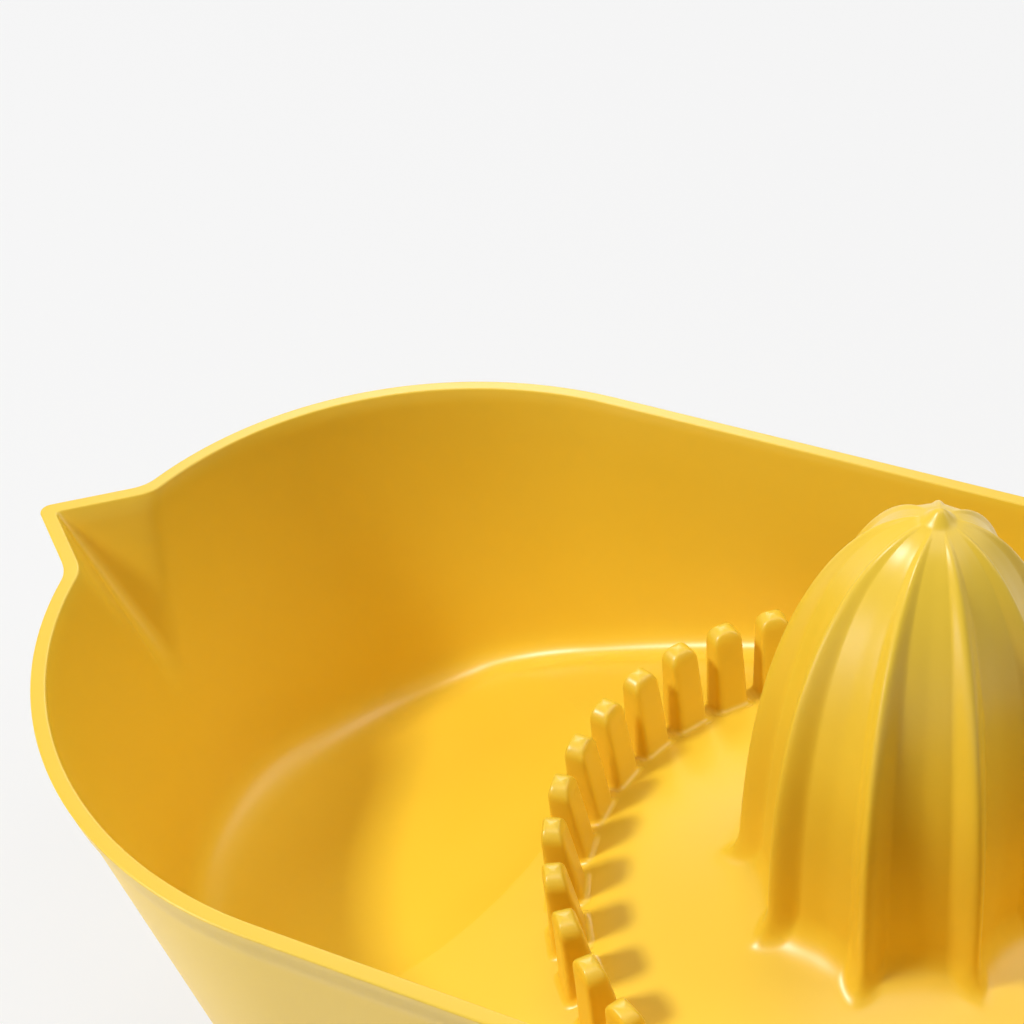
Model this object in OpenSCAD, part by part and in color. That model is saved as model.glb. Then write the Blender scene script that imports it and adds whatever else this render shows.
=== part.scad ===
// Citrus juicer: boat-shaped bowl with a pour spout, a conical floor, an arc of
// strainer teeth and a fluted reamer. Millimetres, +Z up, the table at z = 0,
// the spout towards -X. The real object is one moulding; each node below is one
// named region of it, and the regions meet face to face.

/* [Bowl] */
// Inner radius of the rim at both round ends
rim_r = 55; // [40:0.5:75]
// Wall thickness, measured level
wall_t = 1.7; // [1.4:0.1:3]
// Inward taper of the wall for each millimetre of height
wall_draft = 0.235; // [0.1:0.005:0.3]
// Distance from the bow's centre to the press axis
axis_gap = 63; // [45:0.5:90]
// Height of the rim above the table
rim_h = 60; // [52:0.5:75]

/* [Rim] */
// Height of the lip at the rim
lip_h = 3.2; // [2:0.1:6]
// How far the lip stands out from the wall
lip_out = 0.4; // [0.2:0.1:1.5]

/* [Spout] */
// Reach of the spout's inner tip beyond the inner rim
spout_reach = 9.6; // [5:0.1:16]
// Half width of the spout's mouth at the rim
spout_half_w = 9; // [6:0.1:16]
// Depth below the rim at which the spout's valley meets the wall
spout_drop = 26; // [15:0.5:40]

/* [Floor] */
// Floor thickness, measured upright
floor_t = 2.2; // [1.6:0.1:3.5]
// Height of the floor at the inner feet of the teeth
ring_h = 33.2; // [28:0.1:42]
// Fall of the floor outside the teeth for each millimetre
hill_fall = 0.46; // [0.3:0.01:0.5]
// Fall of the floor between reamer and teeth for each millimetre
press_fall = 0.3; // [0.05:0.01:0.4]
// Radius of the round juice well
well_r = 40; // [30:0.5:48]
// Distance of the well's centre from the bow's centre, towards the spout
well_shift = 24; // [12:0.5:34]
// Depth of the well's bank, in the middle
well_bank = 2.4; // [1:0.1:5]
// Fall of the well's floor for each millimetre
well_fall = 0.41; // [0.3:0.005:0.5]

/* [Teeth] */
// Number of strainer teeth, an odd number
tooth_count = 17; // [9:2:17]
// Angle from one tooth to the next
tooth_pitch = 10; // [8:0.5:16]
// Radius of the inner face at the foot
tooth_in_r = 40.6; // [34:0.1:50]
// Depth of a tooth at its foot
tooth_foot_d = 4.9; // [3:0.1:7]
// Radius of the middle of a tooth's top
tooth_top_r = 45; // [36:0.1:54]
// Depth of a tooth at its top
tooth_top_d = 3; // [1.6:0.1:5]
// Width of a tooth at its foot
tooth_foot_w = 5; // [3:0.1:6]
// Width of a tooth at its shoulder
tooth_top_w = 4.6; // [2:0.1:5]
// Height of a tooth above the floor at its inner foot
tooth_h = 12.4; // [6:0.1:18]

/* [Reamer] */
// Number of ridges
ridge_count = 9; // [6:1:12]
// Turn of the ridges about the axis
ridge_turn = -90; // [-180:1:180]
// Radius of the ridges at the foot
ream_r = 20.4; // [16:0.1:28]
// Radius of the ridges at the shoulder
ream_top_r = 4.2; // [3:0.1:8]
// Height of the shoulder above the foot
ream_h = 58.8; // [40:0.1:70]
// Fullness of the dome, more is fuller
dome_power = 2.5; // [1.6:0.1:4]
// Depth of the valleys as a part of the radius
valley_part = 0.16; // [0.08:0.01:0.2]
// Sharpness of the ridges, less is sharper
ridge_soft = 0.55; // [0.4:0.05:1.2]
// Thickness of the reamer's skin under the valleys
skin_t = 2.2; // [1.6:0.1:3]
// Height of the cap above the shoulder
cap_h = 1.2; // [0.8:0.1:4]
// Radius of the nub
nub_r = 2.2; // [1:0.1:4]
// Height of the nub above the cap
nub_h = 1.7; // [0.6:0.1:3]

/* [Hidden] */
$fn = 96;
BIG = 400;
CUT = 1;
PLASTIC = "#f3c33a";
spout_lean = atan((spout_reach / spout_drop) + wall_draft);
spout_turn = atan((spout_half_w / (spout_reach + 0.8)) / cos(spout_lean));
tip_t = wall_t / sin(spout_turn);
tip_out = tip_t / cos(spout_lean);
length_all = spout_reach + tip_out + 2 * rim_r + axis_gap + wall_t + lip_out;
bow_x = spout_reach + tip_out + rim_r - length_all / 2;
axis_x = bow_x + axis_gap;
well_x = bow_x - well_shift;
top_z = rim_h - lip_h;
ream_z = ring_h + press_fall * (tooth_in_r - ream_r);
bank_rho = axis_gap + well_shift - well_r;
bank_z = ring_h - hill_fall * (bank_rho - tooth_in_r);
well_z0 = bank_z - well_bank;
vee_in = 2 * spout_reach + wall_t;
vee_down = (spout_drop * (1 + tip_out / spout_reach) + wall_t) / cos(spout_lean);
vee_up = spout_reach;
vale_top_r = ream_top_r * (1 - valley_part);
core_r = ream_r * (1 - valley_part) - skin_t;
core_part = 0.86;
nub_ball_r = (nub_r * nub_r + nub_h * nub_h) / (2 * nub_h);
skin_steps = 10;
skin_rings = 20;
core_rings = 8;

// Radius of the bowl's inside at a height
function in_r(z) = rim_r - wall_draft * (rim_h - z);

// Level bar of the wall's cross section, from one height to another
module wall_section(z0, z1, outer) {
  polygon([
    [in_r(z0), z0],
    [in_r(z0) + wall_t + outer, z0],
    [in_r(z1) + wall_t + outer, z1],
    [in_r(z1), z1]
  ]);
}

// Half-round run of a wall section at the bow
module at_bow() {
  translate([bow_x, 0, 0])
    rotate([0, 0, 90])
      rotate_extrude(angle = 180)
        children();
}

// Half-round run of a wall section at the stern
module at_stern() {
  translate([axis_x, 0, 0])
    rotate([0, 0, -90])
      rotate_extrude(angle = 180)
        children();
}

// Straight run of a wall section on the +Y side
module at_side() {
  translate([bow_x, 0, 0])
    rotate([90, 0, 90])
      linear_extrude(height = axis_gap)
        children();
}

// Closed run of a wall section round the whole bowl
module all_round() {
  at_bow() children();
  at_stern() children();
  at_side() children();
  mirror([0, 1, 0]) at_side() children();
}

// Solid that fills the bowl's inside
module inside() {
  for (x = [bow_x, axis_x])
    translate([x, 0, 0])
      cylinder(h = rim_h, r1 = in_r(0), r2 = rim_r);
  translate([bow_x, 0, 0])
    rotate([90, 0, 90])
      linear_extrude(height = axis_gap)
        polygon([[-in_r(0), 0], [in_r(0), 0], [rim_r, rim_h], [-rim_r, rim_h]]);
}

// V-shaped bar along the spout's valley, grown outwards by a wall thickness
module vee(grow) {
  back = grow / sin(spout_turn);
  half_w = (vee_in + back) * tan(spout_turn);
  translate([bow_x - rim_r - spout_reach, 0, rim_h])
    rotate([0, -spout_lean, 0])
      translate([0, 0, -vee_down])
        linear_extrude(height = vee_down + vee_up)
          polygon([[-back, 0], [vee_in, half_w], [vee_in, -half_w]]);
}

// Everything below the press floor's surface, lowered by an amount
module under_press(down) {
  translate([axis_x, 0, 0])
    rotate_extrude()
      polygon([
        [0, -CUT],
        [tooth_in_r + (ring_h - down + CUT) / hill_fall, -CUT],
        [tooth_in_r, ring_h - down],
        [0, ring_h - down + press_fall * tooth_in_r]
      ]);
}

// Everything below the well floor's surface, lowered by an amount
module under_well(down) {
  translate([axis_x, 0, 0])
    rotate_extrude()
      polygon([
        [0, -CUT],
        [bank_rho + (well_z0 - down + CUT) / well_fall, -CUT],
        [0, well_z0 - down + well_fall * bank_rho]
      ]);
}

// Upright round bar that bounds the well
module well_bar(grow) {
  translate([well_x, 0, -CUT])
    cylinder(h = rim_h, r = well_r + grow);
}

// Height of the press floor's surface at a radius between reamer and teeth
function press_z(r) = ring_h + press_fall * (tooth_in_r - r);

// Radius of the reamer's ridges at a part of its height
function ridge_r(t) = sqrt(pow(ream_r, 2) - (pow(ream_r, 2) - pow(ream_top_r, 2)) * pow(t, dome_power));

// Part of the height of each ring of the skin, closer together near the top
function ring_t(j, m) = 1 - pow(1 - j / m, 1.7);

// Share of the ridge radius that is left at an angle, least in the valleys
function flute(a) = 1 - valley_part * pow(0.5 - 0.5 * cos(ridge_count * (a - ridge_turn)), ridge_soft);

// Point of the reamer's outer skin
function skin_pt(a, t) =
  let (r = ridge_r(t) * flute(a))
  [r * cos(a), r * sin(a), t == 0 ? press_z(r) : ream_z + t * ream_h];

// Point of the reamer's hollow
function core_pt(a, t) =
  let (r = ridge_r(t) * (1 - valley_part) - skin_t)
  [r * cos(a), r * sin(a), t == 0 ? press_z(r) : ream_z + t * ream_h];

// Half-round wall at the spout end
module bow_wall() {
  color(PLASTIC)
    difference() {
      at_bow() wall_section(0, top_z, 0);
      vee(wall_t);
    }
}

// Straight wall on the -Y side
module side_wall_front() {
  color(PLASTIC)
    mirror([0, 1, 0])
      at_side() wall_section(0, top_z, 0);
}

// Straight wall on the +Y side
module side_wall_back() {
  color(PLASTIC)
    at_side() wall_section(0, top_z, 0);
}

// Half-round wall behind the reamer
module stern_wall() {
  color(PLASTIC)
    at_stern() wall_section(0, top_z, 0);
}

// Flat-topped lip round the wall's top edge
module rim_lip() {
  color(PLASTIC)
    difference() {
      all_round() wall_section(top_z, rim_h, lip_out);
      vee(wall_t);
    }
}

// V-shaped beak at the bow
module pour_spout() {
  color(PLASTIC)
    difference() {
      vee(wall_t);
      vee(0);
      inside();
      translate([-BIG / 2, -BIG / 2, rim_h]) cube([BIG, BIG, BIG]);
    }
}

// Low round well in front of the teeth, with its bank
module well_floor() {
  color(PLASTIC)
    difference() {
      intersection() {
        inside();
        well_bar(floor_t);
        under_press(0);
      }
      under_well(floor_t);
      difference() {
        well_bar(0);
        under_well(0);
      }
    }
}

// Conical floor that carries the teeth and the reamer
module press_floor() {
  color(PLASTIC)
    difference() {
      intersection() {
        inside();
        under_press(0);
      }
      under_press(floor_t);
      well_bar(floor_t);
      translate([axis_x, 0, 0]) cylinder(h = rim_h, r = core_r);
    }
}

// One tooth on the -X side of the press axis
module tooth() {
  top_z1 = ring_h + tooth_h;
  low_z = ring_h - 6;
  round_r = tooth_top_w / 2 - 0.5;
  difference() {
    intersection() {
      // Outline seen along the arc
      rotate([90, 0, 0])
        linear_extrude(height = 3 * tooth_foot_w, center = true)
          polygon([
            [-tooth_in_r, low_z],
            [-tooth_in_r, ring_h],
            [-tooth_top_r + tooth_top_d / 2, top_z1],
            [-tooth_top_r - tooth_top_d / 2, top_z1],
            [-tooth_in_r - tooth_foot_d, ring_h],
            [-tooth_in_r - tooth_foot_d, low_z]
          ]);
      // Outline seen from the reamer
      rotate([90, 0, 90])
        linear_extrude(height = 2 * BIG, center = true)
          union() {
            polygon([
              [-tooth_foot_w / 2, low_z],
              [tooth_foot_w / 2, low_z],
              [tooth_foot_w / 2, ring_h],
              [tooth_top_w / 2, top_z1 - round_r],
              [-tooth_top_w / 2, top_z1 - round_r],
              [-tooth_foot_w / 2, ring_h]
            ]);
            translate([0, top_z1 - round_r / 2 - 0.01])
              square([tooth_top_w - 2 * round_r, round_r], center = true);
            for (s = [-1, 1])
              translate([s * (tooth_top_w / 2 - round_r), top_z1 - round_r])
                circle(r = round_r, $fn = 48);
          }
    }
    translate([-axis_x, 0, 0]) under_press(0);
  }
}

// Arc of upright strainer teeth
module strainer_teeth() {
  color(PLASTIC)
    for (i = [0 : tooth_count - 1])
      translate([axis_x, 0, 0])
        rotate([0, 0, (i - (tooth_count - 1) / 2) * tooth_pitch])
          tooth();
}

// Fluted hollow reamer, a closed loft of rings inside and outside
module reamer() {
  n = ridge_count * skin_steps;
  m = skin_rings;
  k = core_rings;
  outer = [for (j = [0 : m]) for (i = [0 : n - 1]) skin_pt(i * 360 / n, ring_t(j, m))];
  inner = [for (j = [0 : k]) for (i = [0 : n - 1]) core_pt(i * 360 / n, core_part * j / k)];
  base = (m + 1) * n;
  skin = [for (j = [0 : m - 1]) for (i = [0 : n - 1])
    let (a = j * n + i, b = j * n + (i + 1) % n)
    each [[a, a + n, b], [b, a + n, b + n]]];
  core = [for (j = [0 : k - 1]) for (i = [0 : n - 1])
    let (a = base + j * n + i, b = base + j * n + (i + 1) % n)
    each [[a, b, a + n], [b, b + n, a + n]]];
  foot = [for (i = [0 : n - 1])
    let (b = (i + 1) % n)
    each [[i, b, base + i], [b, base + b, base + i]]];
  top = [[for (i = [0 : n - 1]) m * n + n - 1 - i]];
  roof = [[for (i = [0 : n - 1]) base + k * n + i]];
  color(PLASTIC)
    translate([axis_x, 0, 0])
      polyhedron(points = concat(outer, inner), faces = concat(skin, core, foot, top, roof));
}

// Cap and nub on the reamer's top
module reamer_tip() {
  color(PLASTIC)
    translate([axis_x, 0, ream_z + ream_h]) {
      cylinder(h = cap_h, r1 = vale_top_r, r2 = nub_r);
      intersection() {
        translate([0, 0, cap_h]) cylinder(h = nub_h, r = nub_r);
        translate([0, 0, cap_h + nub_h - nub_ball_r]) sphere(r = nub_ball_r);
      }
    }
}

bow_wall();
side_wall_front();
side_wall_back();
stern_wall();
rim_lip();
pour_spout();
well_floor();
press_floor();
strainer_teeth();
reamer();
reamer_tip();
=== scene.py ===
"""Looks of the citrus juicer: one yellow plastic moulding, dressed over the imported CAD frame."""

import math

import bmesh
import bpy
from mathutils import Matrix, Vector


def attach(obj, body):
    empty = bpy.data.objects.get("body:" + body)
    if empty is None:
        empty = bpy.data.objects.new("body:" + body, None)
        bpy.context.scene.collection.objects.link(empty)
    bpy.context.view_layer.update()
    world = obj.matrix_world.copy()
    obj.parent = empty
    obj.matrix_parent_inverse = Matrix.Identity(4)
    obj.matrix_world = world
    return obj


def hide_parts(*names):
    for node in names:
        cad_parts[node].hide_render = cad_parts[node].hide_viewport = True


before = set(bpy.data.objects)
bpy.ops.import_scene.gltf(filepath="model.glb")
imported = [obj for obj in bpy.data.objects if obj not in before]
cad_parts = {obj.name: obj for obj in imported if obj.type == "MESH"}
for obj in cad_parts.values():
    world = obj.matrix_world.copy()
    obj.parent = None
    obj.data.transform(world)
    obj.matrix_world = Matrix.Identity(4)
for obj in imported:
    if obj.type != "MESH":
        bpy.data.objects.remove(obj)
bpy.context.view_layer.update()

# Metres in a millimetre
MM = 0.001

# Sizes in millimetres, and slopes as plain shares, the same as in the part's own source
RIM_R = 55.0
WALL_T = 1.7
LIP_OUT = 0.4
LIP_H = 3.2
DRAFT = 0.235
GAP = 63.0
RIM_H = 60.0
SPOUT_REACH = 9.6
SPOUT_HALF_W = 9.0
SPOUT_DROP = 26.0
SPOUT_ROOT = 0.8
FLOOR_T = 2.2
RING_H = 33.2
HILL_FALL = 0.46
PRESS_FALL = 0.3
WELL_R = 40.0
WELL_SHIFT = 24.0
TOOTH_COUNT = 17
TOOTH_PITCH = 10.0
TOOTH_IN_R = 40.6
TOOTH_FOOT_D = 4.9
TOOTH_TOP_R = 45.0
TOOTH_TOP_D = 3.0
TOOTH_FOOT_W = 5.0
TOOTH_TOP_W = 4.6
TOOTH_H = 12.4
RIDGES = 9
RIDGE_TURN = math.radians(-90)
REAM_R = 20.4
REAM_TOP_R = 4.2
DOME_POWER = 2.5
SKIN_T = 2.2
NUB_R = 2.2

# The reamer's skin, the slant of its ribs and the well's level, matched to the photograph
REAM_H = 59.2
VALLEY = 0.18
CAP_H = 1.05
NUB_H = 1.4
NUB_SPREAD = 0.1
SWEEP = math.radians(5)
SWEEP_LEVEL = 0.45
WELL_Z = 5.1

# Roundings of the moulding in millimetres; a nose has one at the rim and one at the spout's lower end
NOSE_IN = (0.8, 3.0)
NOSE_OUT = (1.6, 4.2)
SPOUT_BLEND = 1.6
WELL_BLEND = 3.0
HILL_BEND = 2.0
WALL_FILLET = 5.6
REAM_FILLET_OUT = 4.4
REAM_FILLET_UP = 5.4
FOOT_EDGE = 0.4
LIP_EDGE = 0.3
RIM_EDGE = 0.2

# Half angles in degrees, seen from the press axis
SPOUT_SPAN = 20.0
CREASE_SPAN = 26.0
WELL_SPAN = 40.0

# Ribs: the flank's and the panel's share of a valley's depth, and the flank's share of its half width
FLANK_DEPTH = 0.7
PANEL_DEPTH = 0.3
FLANK_W = 0.42

# The ribs fade by a share from a part of the height up; inside a radius the crown is even, at a valley's part
FADE = 0.3
FADE_FROM = 0.5
CROWN_EVEN_R = 1.5
EVEN_DEPTH = 0.15

# Hollow of the reamer: the roof's part of the height and its rise, and how far the foot opens below the skin
ROOF = 0.9
ROOF_RISE = 1.2
HOLLOW_OPEN = 1.5

# Rings in millimetres out from the crease, in from the lip's face and out from the bowl's inside
CREASE_STEPS = (2.3, 1.8, 1.2, 0.7, 0.3, 0.0, -0.4)
TOP_FROM_LIP = (0.3, 0.4)
TOP_FROM_BOWL = (0.3, 0.2)

# Other places of rings in millimetres, from the edge beside them or from the press axis
CREASE_KEEP = 3.2
PRESS_EDGE = 0.8
RIM_EDGE_MID = 0.06
LIP_FACE_END = 0.45
LIP_STEP = 0.25
OUTSIDE_LOW = 1.2
UNDER_START = 19.0
UNDER_EDGE = 0.8
CROWN_END_R = 0.03

# First guess in millimetres and rounds to find where two faces meet, and a sine that counts as none
FIRST_GUESS_R = 60.0
MEETING_ROUNDS = 14
NEAR_ZERO = 1e-9

# Power that crowds the rings of the skin towards the shoulder
SHOULDER_CROWDING = 1.7

# Roundings of a tooth in millimetres, the power of its rounded oblong, and the points of a ring
TOOTH_FILLET = 0.9
TOOTH_ARCH = 2.05
TOOTH_EDGE = 0.8
TOOTH_BURY = 0.4
TOOTH_SINK = 0.01
TOOTH_LEVEL_H = 6.0
TOOTH_SQUARE = 0.34
TOOTH_POINTS = 40

# Steps in degrees away from the spout's direction, and where each kind of step ends
TURN_STEPS = ((0.1, 1.2), (0.3, 6.0), (0.8, 38.0), (1.0, 180.0))

# Mark of the points at a loft's first end
FIRST_END = -1

SPOUT_LEAN = math.atan(SPOUT_REACH / SPOUT_DROP + DRAFT)
SPOUT_TURN = math.atan(SPOUT_HALF_W / (SPOUT_REACH + SPOUT_ROOT))
TIP_T = WALL_T / math.sin(math.atan(math.tan(SPOUT_TURN) / math.cos(SPOUT_LEAN)))
TIP_OUT = TIP_T / math.cos(SPOUT_LEAN)
LENGTH = SPOUT_REACH + TIP_OUT + 2 * RIM_R + GAP + WALL_T + LIP_OUT
BOW_X = SPOUT_REACH + TIP_OUT + RIM_R - LENGTH / 2
AXIS_X = BOW_X + GAP
REAM_Z = RING_H + PRESS_FALL * (TOOTH_IN_R - REAM_R)
REAM_RISE = REAM_FILLET_UP / REAM_H
EVEN_SHARE = 1 - EVEN_DEPTH * VALLEY


def mix(a, b, t):
    """Value between a and b at a part t of the way."""
    return a + (b - a) * t


def ease(t):
    """Smooth step from 0 to 1."""
    t = min(max(t, 0.0), 1.0)
    return t * t * (3 - 2 * t)


def soft_max(a, b, k):
    """The larger of two values, rounded over where they differ by less than k."""
    h = max(k - abs(a - b), 0.0) / k
    return max(a, b) + h * h * k / 4


def bezier(a, b, c, t):
    """Point of a curve from a to c that b pulls towards itself."""
    return tuple(mix(mix(p, q, t), mix(q, r, t), t) for p, q, r in zip(a, b, c))


def shares(steps, first=True, last=True):
    """Even shares from 0 to 1, with or without the first and the last."""
    return [j / steps for j in range(0 if first else 1, steps + 1 if last else steps)]


def directions():
    """Directions round the press axis, close together at the spout and along the crease."""
    offs = []
    off = 0.0
    for step, end in TURN_STEPS:
        while off < end - step / 2:
            offs.append(off)
            off = round(off + step, 3)
    turns = [180.0 - off for off in offs] + [180.0 + off for off in offs[:0:-1]]
    return [math.radians(turn) for turn in turns]


TURNS = directions()


def off_bow(turn):
    """Angle between a direction and the spout's."""
    return abs((turn % (2 * math.pi)) - math.pi)


def wall_rho(turn, radius, reach=0.0, nose=0.0):
    """Distance from the press axis to the bowl's outline of one radius, with the spout's rounded V."""
    c = math.cos(turn)
    s = abs(math.sin(turn))
    if c >= 0:
        return radius
    rho = radius / max(s, NEAR_ZERO)
    if rho * -c > GAP:
        rho = -GAP * c + math.sqrt(max(radius ** 2 - (GAP * s) ** 2, 0.0))
    if nose and math.degrees(off_bow(turn)) < SPOUT_SPAN:
        heart = GAP + radius + reach - nose
        slope = math.tan(SPOUT_TURN)
        vee = (heart + nose / math.sin(SPOUT_TURN)) * slope / (s - c * slope)
        if vee * s < nose * math.cos(SPOUT_TURN):
            vee = -heart * c + math.sqrt(nose ** 2 - (heart * s) ** 2)
        rho = soft_max(rho, vee, SPOUT_BLEND)
    return rho


def skirt_wall(turn, z):
    """Distance from the press axis to the wall's inside at a height, without the spout."""
    return wall_rho(turn, RIM_R - DRAFT * (RIM_H - z))


def inner_wall(turn, z):
    """Distance from the press axis to the wall's inside at a height, with the spout."""
    depth = RIM_H - z
    part = depth / SPOUT_DROP
    nose = mix(*NOSE_IN, min(part, 1.0))
    return wall_rho(turn, RIM_R - DRAFT * depth, SPOUT_REACH * (1 - part), nose)


def outer_wall(turn, z, grow=0.0):
    """Distance from the press axis to the wall's outside at a height, grown where the lip is."""
    depth = RIM_H - z
    reach = SPOUT_REACH + TIP_OUT - WALL_T - grow
    part = depth / (SPOUT_DROP * (1 + (TIP_OUT - WALL_T) / SPOUT_REACH))
    nose = mix(*NOSE_OUT, min(part, 1.0))
    return wall_rho(turn, RIM_R + WALL_T + grow - DRAFT * depth, reach * (1 - part), nose)


def hill(rho):
    """Height of the conical floor at a distance from the press axis, steeper past the teeth."""
    past = rho - TOOTH_IN_R
    bend = 0.5 * (past + math.sqrt(past ** 2 + HILL_BEND ** 2))
    return RING_H - PRESS_FALL * past - (HILL_FALL - PRESS_FALL) * bend


def crease_rho(turn):
    """Distance from the press axis to the near edge of the juice well."""
    reach = GAP + WELL_SHIFT
    d = min(off_bow(turn), math.radians(CREASE_SPAN))
    return reach * math.cos(d) - math.sqrt(WELL_R ** 2 - (reach * math.sin(d)) ** 2)


def floor_z(turn, rho):
    """Height of the floor: the hill, or inside the crease the well's curved ramp."""
    z = hill(rho)
    if rho > crease_rho(turn) and math.degrees(off_bow(turn)) < WELL_SPAN:
        x = GAP + rho * math.cos(turn)
        edge = GAP ** 2 + WELL_R ** 2 - WELL_SHIFT ** 2 - 2 * (GAP + WELL_SHIFT) * x
        z = min(z, hill(math.sqrt(edge)))
    return soft_max(z, WELL_Z, WELL_BLEND)


def meeting(turn, wall, below=0.0):
    """Where the floor, or a face below it, meets a wall; each round betters the last guess."""
    rho = FIRST_GUESS_R
    for _ in range(MEETING_ROUNDS):
        rho = wall(turn, floor_z(turn, rho) - below)
    return rho, floor_z(turn, rho) - below


SKIRT_TOPS = {turn: meeting(turn, skirt_wall, FLOOR_T) for turn in TURNS}
CORNERS = {turn: meeting(turn, inner_wall) for turn in TURNS}


def fillet_top(turn):
    """Upper end of the fillet between the inner wall and the floor."""
    z = CORNERS[turn][1] + WALL_FILLET
    return inner_wall(turn, z), z


def fillet_end(turn):
    """Lower end of the fillet between the inner wall and the floor."""
    rho = CORNERS[turn][0] - WALL_FILLET
    return rho, floor_z(turn, rho)


def crease_edge(turn):
    """Distance from the press axis to the crease, kept clear of the wall's fillet."""
    return min(crease_rho(turn), fillet_end(turn)[0] - CREASE_KEEP)


def ridge_r(t):
    """Radius of the reamer's ridges at a part of its height, a full dome."""
    return math.sqrt(REAM_R ** 2 - (REAM_R ** 2 - REAM_TOP_R ** 2) * t ** DOME_POWER)


def flute(turn):
    """Share of the ridge radius left in a direction: hollow panels between rounded ribs."""
    step = (turn - RIDGE_TURN) * RIDGES / (2 * math.pi)
    off = 2 * abs(step - round(step))
    return 1 - VALLEY * (FLANK_DEPTH * ease(off / FLANK_W) + PANEL_DEPTH * ease(off))


def sweep(t):
    """Turn of the ribs at a part of the reamer's height: they run slightly aslant."""
    return SWEEP * (1 - t / SWEEP_LEVEL)


def ream_foot(turn):
    """Distance from the press axis to the foot of the reamer's skin."""
    return ridge_r(0) * flute(turn)


def spread(turn):
    """Outer edge of the fillet at the reamer's foot, which evens out half of the ribs."""
    return mix(ream_foot(turn), REAM_R * (1 - 0.5 * VALLEY), 0.5) + REAM_FILLET_OUT


def ring(shape, *values, turned=0.0):
    """One ring of the moulding in metres; its shape gives distance and height in each direction."""
    points = []
    for turn in TURNS:
        rho, z = shape(turn, *values)
        points.append(Vector((AXIS_X + rho * math.cos(turn + turned), rho * math.sin(turn + turned), z)) * MM)
    return points


def outside(turn, z, grow=0.0):
    """Point of the wall's outside."""
    return outer_wall(turn, z, grow), z


def inside(turn, z):
    """Point of the wall's inside."""
    return inner_wall(turn, z), z


def on_floor(turn, rho):
    """Point of the floor."""
    return rho, floor_z(turn, rho)


def hollow_rings():
    """Hollow inside the reamer, from its roof down to the open foot."""

    def core_r(turn, part):
        return ridge_r(part) * flute(turn) - SKIN_T

    def roof(turn, share):
        return core_r(turn, ROOF) * share, REAM_Z + ROOF * REAM_H + ROOF_RISE * (1 - share * share)

    def side(turn, part):
        opening = HOLLOW_OPEN if part == 0 else 0.0
        return core_r(turn, part), REAM_Z + part * REAM_H - opening

    rings = [ring(roof, share, turned=sweep(ROOF)) for share in (0.02, 0.3, 0.7, 0.92)]
    for share in shares(12):
        part = ROOF * (1 - share)
        rings.append(ring(side, part, turned=sweep(part)))
    return rings


def shell_rings():
    """Underside of the floor, skirt inside, foot, and wall outside up to the lip."""

    def under_floor(turn, share):
        rho = mix(UNDER_START, SKIRT_TOPS[turn][0] - UNDER_EDGE, share)
        return rho, floor_z(turn, rho) - FLOOR_T

    def skirt(turn, share):
        z = mix(SKIRT_TOPS[turn][1] - FOOT_EDGE, FOOT_EDGE, share)
        return skirt_wall(turn, z), z

    def foot_in(turn):
        return inner_wall(turn, 0) + FOOT_EDGE, 0.0

    def foot_out(turn):
        return outer_wall(turn, 0) - FOOT_EDGE, 0.0

    outside_high = RIM_H - LIP_H - LIP_STEP
    rings = [ring(under_floor, share) for share in shares(15, first=False, last=False)]
    rings += [ring(skirt, share) for share in (0.15, 0.6, 0.97)]
    rings += [ring(foot_in), ring(foot_out), ring(outside, FOOT_EDGE)]
    rings += [ring(outside, mix(OUTSIDE_LOW, outside_high, share)) for share in shares(15)]
    return rings


def rim_rings():
    """Lip with its under step, face and rounded edge, then the flat top and the edge inside."""

    def lip_edge(turn, inward, down=0.0):
        return outer_wall(turn, RIM_H, LIP_OUT) - inward, RIM_H - down

    def rim_edge(turn, outward, down=0.0):
        return inner_wall(turn, RIM_H) + outward, RIM_H - down

    lip_z = RIM_H - LIP_H
    rings = [
        ring(outside, lip_z, LIP_OUT / 2),
        ring(outside, lip_z + LIP_EDGE, LIP_OUT),
        ring(outside, RIM_H - LIP_FACE_END, LIP_OUT),
    ]
    for angle in (20, 45, 70):
        a = math.radians(angle)
        rings.append(ring(lip_edge, LIP_EDGE * (1 - math.cos(a)), LIP_EDGE * (1 - math.sin(a))))
    rings += [ring(lip_edge, inward) for inward in TOP_FROM_LIP]
    rings += [ring(rim_edge, outward) for outward in TOP_FROM_BOWL]
    rings += [ring(rim_edge, RIM_EDGE_MID, RIM_EDGE_MID), ring(inside, RIM_H - RIM_EDGE)]
    return rings


def bowl_rings():
    """Wall inside, its fillet, then the floor inwards: well, crease and press floor."""

    def wall(turn, share):
        return inside(turn, mix(RIM_H - RIM_EDGE, fillet_top(turn)[1], share))

    def fillet(turn, share):
        return bezier(fillet_top(turn), CORNERS[turn], fillet_end(turn), share)

    def well(turn, share):
        return on_floor(turn, mix(fillet_end(turn)[0], crease_edge(turn) + CREASE_STEPS[0], share))

    def crease(turn, off):
        return on_floor(turn, crease_edge(turn) + off)

    def press(turn, share):
        return on_floor(turn, mix(crease_edge(turn) - PRESS_EDGE, spread(turn), share))

    rings = [ring(wall, share) for share in shares(18, first=False)]
    rings += [ring(fillet, share) for share in shares(8, first=False, last=False)]
    rings += [ring(well, share) for share in shares(24, last=False)]
    rings += [ring(crease, off) for off in CREASE_STEPS]
    for share in shares(24, first=False):
        rings.append(ring(press, share, turned=SWEEP * share * share))
    return rings


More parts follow.
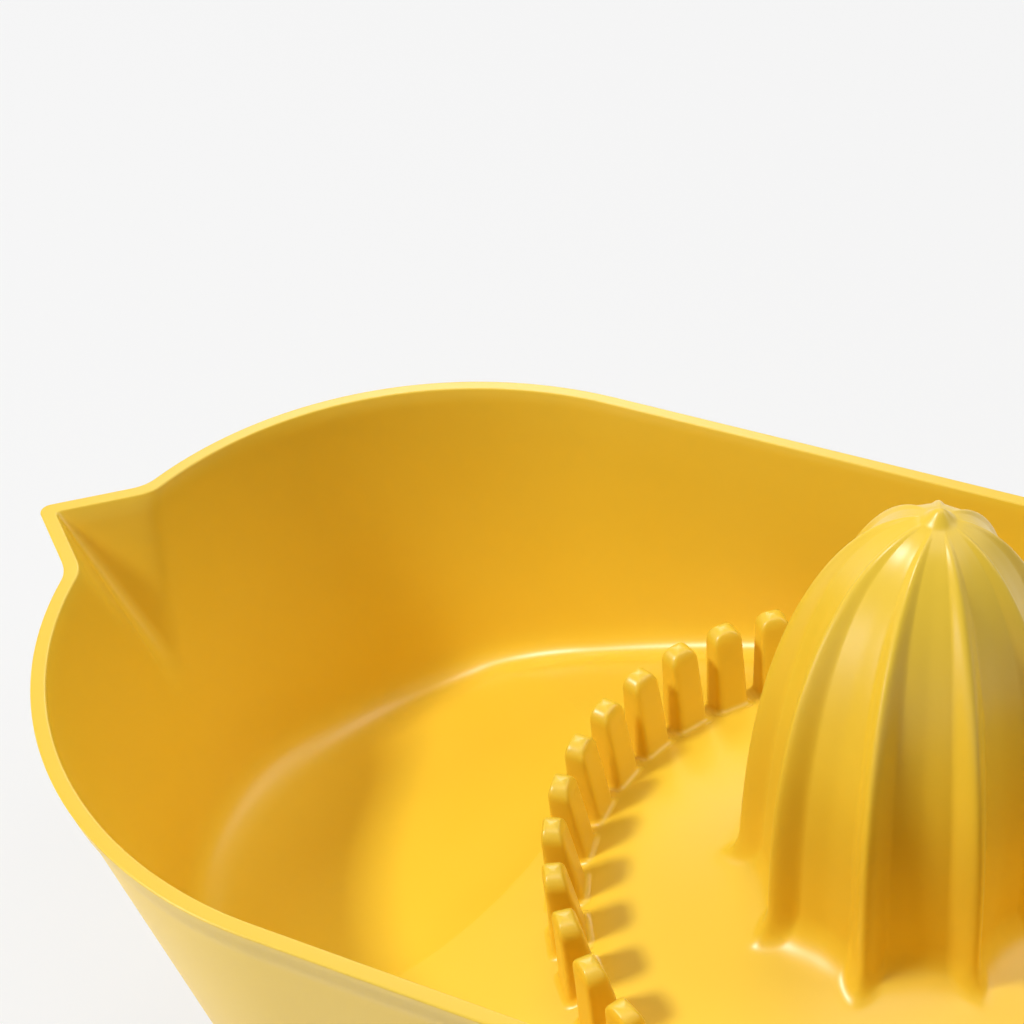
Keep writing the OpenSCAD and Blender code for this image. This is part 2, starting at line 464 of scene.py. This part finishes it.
def reamer_rings():
    """Fillet at the reamer's foot, ribbed skin, and the crown closing in to a small soft nub."""

    def skin(turn, part):
        fade = FADE * ease((part - FADE_FROM) / (1 - FADE_FROM))
        return ridge_r(part) * mix(flute(turn), EVEN_SHARE, fade), REAM_Z + part * REAM_H

    def foot(turn, share):
        edge = spread(turn)
        corner = ream_foot(turn)
        return bezier((edge, hill(edge)), (corner, hill(corner)), skin(turn, REAM_RISE), share)

    def crown(turn, r):
        ribs = (1 - FADE) * ease((r - CROWN_EVEN_R) / (REAM_TOP_R - CROWN_EVEN_R))
        cap = CAP_H * (1 - (r / REAM_TOP_R) ** 2)
        nub = NUB_H * ease(1 - r / (NUB_R + NUB_SPREAD))
        return r * mix(EVEN_SHARE, flute(turn), ribs), REAM_Z + REAM_H + cap + nub

    rings = [ring(foot, share, turned=SWEEP) for share in shares(11, first=False, last=False)]
    for share in shares(43):
        part = 1 - (1 - REAM_RISE) * (1 - share) ** SHOULDER_CROWDING
        rings.append(ring(skin, part, turned=sweep(part - REAM_RISE * (1 - part))))
    for share in shares(15, first=False):
        rings.append(ring(crown, mix(REAM_TOP_R, CROWN_END_R, share), turned=sweep(1.0)))
    return rings


def tooth_rows():
    """Height, growth and tuck of a tooth's rings: filleted foot, plain flanks, rounded top."""
    rows = [(-TOOTH_BURY, TOOTH_FILLET, 0.0)]
    for angle in (0, 6, 14, 25, 40, 55, 72, 90):
        a = math.radians(angle)
        rows.append((TOOTH_FILLET * (1 - math.cos(a)) - TOOTH_SINK, TOOTH_FILLET * (1 - math.sin(a)), 0.0))
    rows += [(height, 0.0, 0.0) for height in (2.5, 4.5, 6.5, 8.5, 10.0)]
    for angle in range(0, 105, 15):
        a = math.radians(angle)
        rows.append((TOOTH_H - TOOTH_ARCH * (1 - math.sin(a)), 0.0, 1 - math.cos(a)))
    return rows


def squared(x):
    """A cosine or sine drawn out, which turns an oval into a rounded oblong."""
    return math.copysign(abs(x) ** TOOTH_SQUARE, x)


def tooth_rings(turn):
    """Rings in metres of the tooth that stands in one direction."""
    c = math.cos(turn)
    s = math.sin(turn)
    rings = []
    for h, grow, tuck in tooth_rows():
        part = max(h, 0.0) / TOOTH_H
        half_w = mix(TOOTH_FOOT_W, TOOTH_TOP_W, part) / 2 + grow - tuck * TOOTH_ARCH
        half_d = mix(TOOTH_FOOT_D, TOOTH_TOP_D, part) / 2 + grow - tuck * TOOTH_EDGE
        mid = mix(TOOTH_IN_R + TOOTH_FOOT_D / 2, TOOTH_TOP_R, part)
        points = []
        for i in range(TOOTH_POINTS):
            a = 2 * math.pi * (i + 0.5) / TOOTH_POINTS
            rho = mid + squared(math.cos(a)) * half_d
            y = squared(math.sin(a)) * half_w
            z = mix(hill(math.hypot(rho, y)), RING_H, ease(h / TOOTH_LEVEL_H)) + h
            points.append(Vector((AXIS_X + rho * c - y * s, rho * s + y * c, z)) * MM)
        rings.append(points)
    return rings


def mesh_from(bm, name):
    """Mesh with what bm holds; bm is freed."""
    mesh = bpy.data.meshes.new(name)
    bm.to_mesh(mesh)
    bm.free()
    return mesh


def piece_from(mesh):
    """Object of the mesh's own name in the scene."""
    piece = bpy.data.objects.new(mesh.name, mesh)
    bpy.context.collection.objects.link(piece)
    return piece


def loft(name, rings):
    """Mesh extruded from ring to ring; both ends close to a point, and the first is shaded flat."""
    bm = bmesh.new()
    place = bm.verts.layers.int.new("place")
    first = bmesh.ops.create_circle(bm, segments=len(rings[0]), radius=1.0)["verts"]
    for i, v in enumerate(first):
        v[place] = i
        v.co = rings[0][i]
    edges = bm.edges[:]
    for points in rings[1:]:
        grown = bmesh.ops.extrude_edge_only(bm, edges=edges)["geom"]
        last = [g for g in grown if isinstance(g, bmesh.types.BMVert)]
        for v in last:
            v.co = points[v[place]]
        front = set(last)
        edges = [g for g in grown if isinstance(g, bmesh.types.BMEdge) and front.issuperset(g.verts)]
    for v in first:
        v[place] = FIRST_END
    for verts in (first, last):
        centre = sum((v.co for v in verts), Vector()) / len(verts)
        bmesh.ops.pointmerge(bm, verts=verts, merge_co=centre)
    bmesh.ops.recalc_face_normals(bm, faces=bm.faces[:])
    for f in bm.faces:
        f.smooth = all(v[place] != FIRST_END for v in f.verts)
    return mesh_from(bm, name)


def strainer_teeth():
    """The arc of teeth as one mesh."""
    bm = bmesh.new()
    for i in range(TOOTH_COUNT):
        turn = math.radians(180 + (i - (TOOTH_COUNT - 1) / 2) * TOOTH_PITCH)
        tooth = loft("tooth_%d" % i, tooth_rings(turn))
        bm.from_mesh(tooth)
        bpy.data.meshes.remove(tooth)
    return mesh_from(bm, "strainer_teeth_moulded")


moulding_rings = hollow_rings() + shell_rings() + rim_rings() + bowl_rings() + reamer_rings()
moulding = piece_from(loft("moulded_bowl_and_reamer", moulding_rings))
teeth = piece_from(strainer_teeth())


def srgb(text):
    """Linear colour from an sRGB hex value."""
    channels = [int(text[i : i + 2], 16) / 255 for i in (0, 2, 4)]
    return [c / 12.92 if c <= 0.04045 else ((c + 0.055) / 1.055) ** 2.4 for c in channels] + [1.0]


def add(tree, kind, settings=None, **links):
    """Adds a node; links give the value or the feeding output of a socket, by its name or its number."""
    node = tree.nodes.new(kind)
    for key, value in (settings or {}).items():
        setattr(node, key, value)
    for key, value in links.items():
        socket = node.inputs[int(key[1:])] if key[0] == "_" else node.inputs[key.replace("_", " ")]
        if isinstance(value, bpy.types.NodeSocket):
            tree.links.new(value, socket)
        else:
            socket.default_value = value
    return node


def pattern_scale(count, length):
    """Scale of a pattern that comes so many times in a length in millimetres."""
    return count / (length * MM)


def new_material(name):
    """Material without nodes, and its node tree."""
    material = bpy.data.materials.new(name)
    material.use_nodes = True
    material.node_tree.nodes.clear()
    return material, material.node_tree


# Share of the cells that have no speck
SPECKLESS = 0.985


# Yellow polypropylene, injection moulded against a lightly polished steel tool:
# an even deep yellow, a satin sheen, a faint grain and a few pale specks
def yellow_polypropylene():
    material, tree = new_material("yellow_polypropylene_satin")
    place = add(tree, "ShaderNodeTexCoord").outputs["Object"]
    # Cloudy change of tone over about 25 mm; a mix has its colours at inputs 6 and 7 and at output 2
    cloud = add(tree, "ShaderNodeTexNoise", Vector=place, Scale=pattern_scale(4, 100), Detail=2.0)
    tone = add(
        tree, "ShaderNodeMix", {"data_type": "RGBA"},
        Factor=cloud.outputs[0], _6=srgb("f0c733"), _7=srgb("f2cc3d"),
    )
    # Pale specks of about 0.5 mm in a few cells of 7.7 mm, drawn larger than the real dust so that they show
    specks = add(tree, "ShaderNodeTexVoronoi", Vector=place, Scale=pattern_scale(13, 100))
    near = add(tree, "ShaderNodeMapRange", Value=specks.outputs["Distance"], From_Min=0.05, From_Max=0.02)
    chance = add(tree, "ShaderNodeTexWhiteNoise", Vector=specks.outputs["Position"])
    few = add(tree, "ShaderNodeMath", {"operation": "GREATER_THAN"}, _0=chance.outputs[0], _1=SPECKLESS)
    show = add(tree, "ShaderNodeMath", {"operation": "MULTIPLY"}, _0=near.outputs[0], _1=few.outputs[0])
    colour = add(
        tree, "ShaderNodeMix", {"data_type": "RGBA"},
        Factor=show.outputs[0], _6=tone.outputs[2], _7=srgb("fbe6a4"),
    )
    # Grain left by the tool, about 0.6 mm
    grain = add(tree, "ShaderNodeTexNoise", Vector=place, Scale=pattern_scale(17, 10), Detail=3.0)
    rough = add(tree, "ShaderNodeMapRange", Value=grain.outputs[0], To_Min=0.32, To_Max=0.35)
    bump = add(tree, "ShaderNodeBump", Strength=0.01, Distance=0.2 * MM, Height=grain.outputs[0])
    shader = add(
        tree, "ShaderNodeBsdfPrincipled", IOR=1.52,
        Base_Color=colour.outputs[2], Roughness=rough.outputs[0], Normal=bump.outputs[0],
    )
    add(tree, "ShaderNodeOutputMaterial", Surface=shader.outputs[0])
    return material


plastic = yellow_polypropylene()
for piece in (moulding, teeth):
    piece.data.materials.append(plastic)
    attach(piece, "root")
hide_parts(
    "bow_wall", "side_wall_front", "side_wall_back", "stern_wall", "rim_lip", "pour_spout",
    "well_floor", "press_floor", "reamer", "reamer_tip",
)
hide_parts("strainer_teeth")

# Studio in metres: half the floor's side, how far it lies below the juicer, and the point that the lamps face
FLOOR_HALF = 3.0
FLOOR_BELOW = 0.0005
LAMP_AIM = Vector((0.0, 0.0, 0.03))

# Shares: how far the camera sees the floor evened out, and the world's level as a lamp and as the background
FLOOR_EVENED = 0.8
WORLD_LIGHT = 0.03
WORLD_SHOWN = 0.92


def background_rays(tree):
    """One for the rays that show the background: to the camera, off gloss and through glass."""
    path = add(tree, "ShaderNodeLightPath")
    shown = path.outputs["Is Camera Ray"]
    for kind in ("Is Glossy Ray", "Is Transmission Ray"):
        larger = add(tree, "ShaderNodeMath", {"operation": "MAXIMUM"}, _0=shown, _1=path.outputs[kind])
        shown = larger.outputs[0]
    return shown


# Uncoated white paper, matt: the camera sees it evened out, with some of its shading left for the shadow
def white_paper():
    material, tree = new_material("white_studio_paper")
    paper = add(tree, "ShaderNodeBsdfDiffuse", Color=srgb("efefef"))
    even = add(tree, "ShaderNodeEmission", Color=srgb("f6f6f6"), Strength=1.0)
    rays = background_rays(tree)
    part = add(tree, "ShaderNodeMath", {"operation": "MULTIPLY"}, _0=rays, _1=FLOOR_EVENED)
    both = add(tree, "ShaderNodeMixShader", _0=part.outputs[0], _1=paper.outputs[0], _2=even.outputs[0])
    add(tree, "ShaderNodeOutputMaterial", Surface=both.outputs[0])
    return material


def studio_floor():
    """Flat pale floor under the juicer."""
    bm = bmesh.new()
    bmesh.ops.create_grid(bm, x_segments=8, y_segments=8, size=FLOOR_HALF)
    floor = piece_from(mesh_from(bm, "studio_floor"))
    floor.location.z = -FLOOR_BELOW
    floor.data.materials.append(white_paper())


def softbox(name, toward, distance, size, power):
    """Square lamp that faces the juicer from a direction."""
    lamp = bpy.data.lights.new(name, "AREA")
    lamp.shape = "SQUARE"
    lamp.size = size
    lamp.energy = power
    toward = Vector(toward).normalized()
    stand = bpy.data.objects.new(name, lamp)
    stand.location = LAMP_AIM + toward * distance
    stand.rotation_euler = toward.to_track_quat("Z", "Y").to_euler()
    bpy.context.collection.objects.link(stand)


studio_floor()

# White world: a pale background that gives hardly any light
world = bpy.data.worlds.new("studio")
bpy.context.scene.world = world
world.use_nodes = True
tree = world.node_tree
sky = tree.nodes["Background"]
sky.inputs["Color"].default_value = srgb("ffffff")
glow = add(tree, "ShaderNodeMapRange", Value=background_rays(tree), To_Min=WORLD_LIGHT, To_Max=WORLD_SHOWN)
tree.links.new(glow.outputs[0], sky.inputs["Strength"])

# Lamps: direction from the juicer, distance and size in metres, power in watts
softbox("key_softbox", (-0.55, -0.38, 0.74), 1.5, 0.24, 14.0)
softbox("top_softbox", (0.1, 0.0, 1.0), 1.4, 0.8, 5.0)
softbox("side_softbox", (0.62, 0.45, 0.64), 1.4, 1.0, 6.0)
softbox("back_softbox", (-0.34, 0.69, 0.64), 1.4, 0.5, 4.5)
softbox("floor_bounce", (-0.62, -0.78, -0.04), 0.42, 0.16, 0.5)

# Camera at the photograph's place, in millimetres from the bow's centre at rim height
CAMERA_PLACE = (97.86, -181.76, 190.38)
CAMERA_TURN = math.radians(-25.99)
CAMERA_TILT = math.radians(39.54)
CAMERA_ROLL = math.radians(-2.25)
CAMERA_LENS = 72.63
SENSOR_W = 36.0

level = math.cos(CAMERA_TILT)
ahead = Vector((math.sin(CAMERA_TURN) * level, math.cos(CAMERA_TURN) * level, -math.sin(CAMERA_TILT)))
sideways = ahead.cross(Vector((0, 0, 1))).normalized()
upright = sideways.cross(ahead)
right = sideways * math.cos(CAMERA_ROLL) + upright * math.sin(CAMERA_ROLL)
up = upright * math.cos(CAMERA_ROLL) - sideways * math.sin(CAMERA_ROLL)
lens = bpy.data.cameras.new("photo_camera")
lens.sensor_width = SENSOR_W
lens.lens = CAMERA_LENS
lens.clip_start = 0.01
camera = bpy.data.objects.new("photo_camera", lens)
x, y, z = CAMERA_PLACE
spot = Vector((BOW_X + x, y, RIM_H + z)) * MM
camera.matrix_world = Matrix.Translation(spot) @ Matrix((right, up, -ahead)).transposed().to_4x4()
bpy.context.collection.objects.link(camera)
bpy.context.scene.camera = camera
bpy.context.scene.view_settings.view_transform = "Standard"
